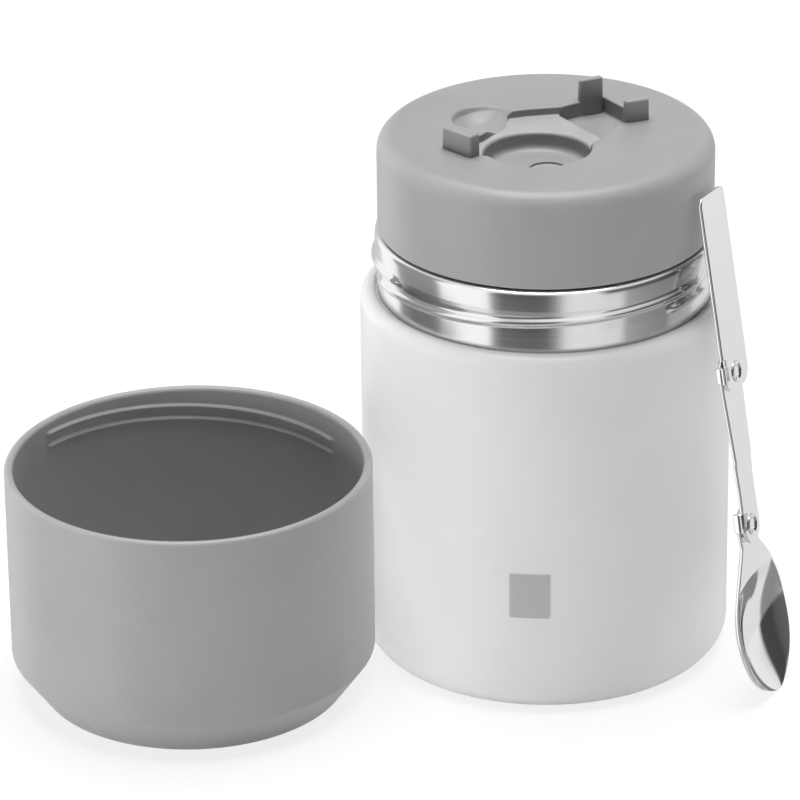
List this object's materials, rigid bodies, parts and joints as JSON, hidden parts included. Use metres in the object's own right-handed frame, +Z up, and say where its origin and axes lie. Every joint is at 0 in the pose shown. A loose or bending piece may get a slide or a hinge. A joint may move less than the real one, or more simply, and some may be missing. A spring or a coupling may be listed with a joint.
{
  "type": "insulated food jar",
  "caption": "Double-wall steel food jar with a screw-in stopper lid, a serving cup that screws over it and a folding spoon that the lid's top holds.",
  "frame": {"origin": "the centre of the jar's foot ring, on the surface that the jar stands on", "axes": "+Z up along the jar's axis; +X to the right seen from the front, along the row's longest extent, towards the spoon and away from the cup; -Y towards the front, where the badge plate is"},
  "size_m": [0.2229, 0.1315, 0.1631],
  "materials": {
    "outer_shell": "white satin paint",
    "neck_collar": "brushed round the neck",
    "inner_liner": "matt stainless steel",
    "base_plate": "spun stainless steel",
    "vacuum_seal": "dark sealing resin",
    "getter_pill": "grey sintered pill",
    "badge_plate": "satin, blank",
    "lid_cover": "grey, fine matt grain",
    "lid_plug": "light grey, matt",
    "lid_foam": "pale foam",
    "lid_gasket": "translucent grey silicone",
    "fill_plug": "grey, matt",
    "cup_shell": "grey, fine matt grain",
    "spoon_bowl": "polished",
    "spoon_arm": "polished",
    "spoon_grip": "polished",
    "bowl_rivet": "polished",
    "grip_rivet": "polished",
    "bowl_washer": "plain",
    "grip_washer": "plain"
  },
  "bodies": {
    "jar": {"outer_shell": "outer_shell", "neck_collar": "neck_collar", "inner_liner": "inner_liner", "base_plate": "base_plate", "vacuum_seal": "vacuum_seal", "getter_pill": "getter_pill", "badge_plate": "badge_plate"},
    "gasket": {"lid_gasket": "lid_gasket"},
    "stopper": {"lid_cover": "lid_cover", "lid_plug": "lid_plug", "lid_foam": "lid_foam", "fill_plug": "fill_plug"},
    "cup": {"cup_shell": "cup_shell"},
    "arm": {"spoon_arm": "spoon_arm", "bowl_rivet": "bowl_rivet", "grip_rivet": "grip_rivet", "bowl_washer": "bowl_washer", "grip_washer": "grip_washer"},
    "bowl": {"spoon_bowl": "spoon_bowl"},
    "grip": {"spoon_grip": "spoon_grip"}
  },
  "joints": [
    {"name": "lid_rise", "type": "slide", "parent": "jar", "child": "gasket", "axis": [0, 0, 1], "range_m": [0, 0.0361]},
    {"name": "lid_turn", "type": "hinge", "parent": "gasket", "child": "stopper", "pos_m": [0, 0, 0.1566], "axis": [0, 0, 1], "range_deg": [0, 1080]},
    {"name": "cup_lift", "type": "slide", "parent": "jar", "child": "cup", "axis": [0, 0, 1], "range_m": [0, 0.08]},
    {"name": "spoon_lift", "type": "slide", "parent": "jar", "child": "arm", "axis": [0, 0, 1], "range_m": [0, 0.05]},
    {"name": "bowl_fold", "type": "hinge", "parent": "arm", "child": "bowl", "pos_m": [0.05546, -0.03508, 0.05084], "axis": [0.8886, -0.4144, 0.1968], "range_deg": [-7, 173]},
    {"name": "grip_fold", "type": "hinge", "parent": "arm", "child": "grip", "pos_m": [0.04923, -0.02758, 0.09477], "axis": [-0.8886, 0.4144, -0.1968], "range_deg": [0, 180]}
  ],
  "couplings": [
    {"joint": "lid_rise", "follows": "lid_turn", "m_per_rad": 0.0019099}
  ]
}
